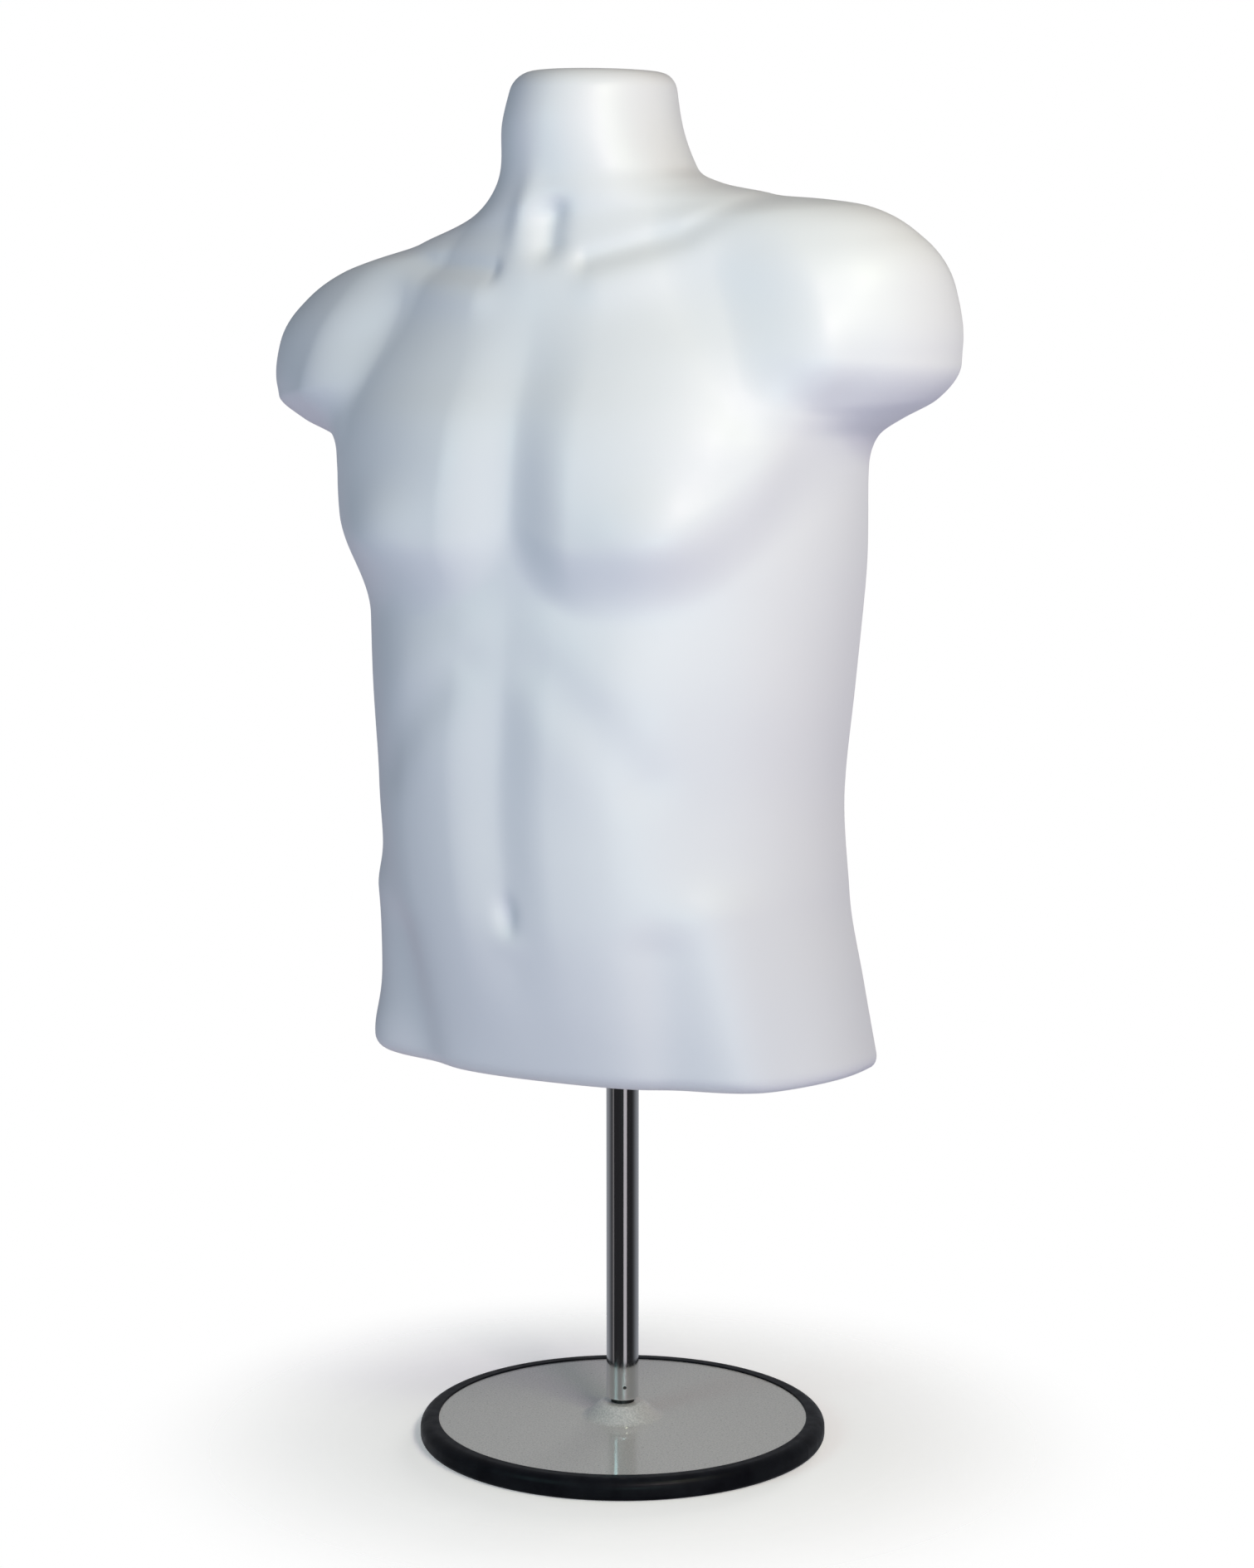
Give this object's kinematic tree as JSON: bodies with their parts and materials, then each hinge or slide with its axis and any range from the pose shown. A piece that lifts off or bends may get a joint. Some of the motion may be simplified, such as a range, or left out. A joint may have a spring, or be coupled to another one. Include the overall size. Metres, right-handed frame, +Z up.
{
  "type": "torso display form",
  "caption": "Headless male torso form, a hollow-back white shell that swivels and rises on a telescopic chrome pole with a hand-screw lock and a round rubber-rimmed base.",
  "frame": {"origin": "on the pole's axis, in the plane of the surface that the base stands on", "axes": "+Z up along the pole, the torso faces -Y and its left side is at +X"},
  "size_m": [0.5002, 0.28, 0.929],
  "materials": {
    "form_white": "semi-matte moulded plastic",
    "chrome_tube": "bright chrome plating",
    "plate_paint": "light grey hammered enamel",
    "rim_rubber": "smooth black extruded rubber",
    "zinc": "bright zinc plating",
    "dark_steel": "black oxide",
    "collar_metal": "satin chrome on a zinc casting",
    "black_plastic": "fine grained moulding",
    "natural_nylon": "smooth nylon",
    "grey_plastic": "smooth moulding"
  },
  "bodies": {
    "base": {"base_plate": "plate_paint", "rim_ring": "rim_rubber", "base_bolt": "zinc", "flat_washer": "zinc", "spring_washer": "zinc", "tube_plug": "dark_steel", "outer_tube": "chrome_tube", "guide_sleeve": "black_plastic", "lock_collar": "collar_metal", "collar_grub_screw": "dark_steel"},
    "pad": {"clamp_pad": "natural_nylon"},
    "screw": {"thumb_stud": "zinc", "thumb_knob": "black_plastic"},
    "upper_pole": {"inner_tube": "chrome_tube", "tube_glide": "black_plastic", "top_cap": "zinc", "thrust_washer": "natural_nylon"},
    "torso": {"torso_shell": "form_white", "floor_bush": "grey_plastic", "bush_nut": "grey_plastic", "neck_socket": "grey_plastic", "socket_screws": "zinc"}
  },
  "joints": [
    {"name": "pad_travel", "type": "slide", "parent": "base", "child": "pad", "axis": [0, 1, 0], "range_m": [0, 0.0025]},
    {"name": "screw_turn", "type": "hinge", "parent": "pad", "child": "screw", "pos_m": [0, 0.03, 0.543], "axis": [0, 1, 0], "range_deg": [0, 720]},
    {"name": "height_slide", "type": "slide", "parent": "base", "child": "upper_pole", "axis": [0, 0, 1], "range_m": [-0.2, 0.2]},
    {"name": "torso_swivel", "type": "hinge", "parent": "upper_pole", "child": "torso", "pos_m": [0, 0, 0.88], "axis": [0, 0, 1], "continuous": true}
  ],
  "couplings": [
    {"joint": "screw_turn", "follows": "pad_travel", "rad_per_m": 5026.5}
  ]
}
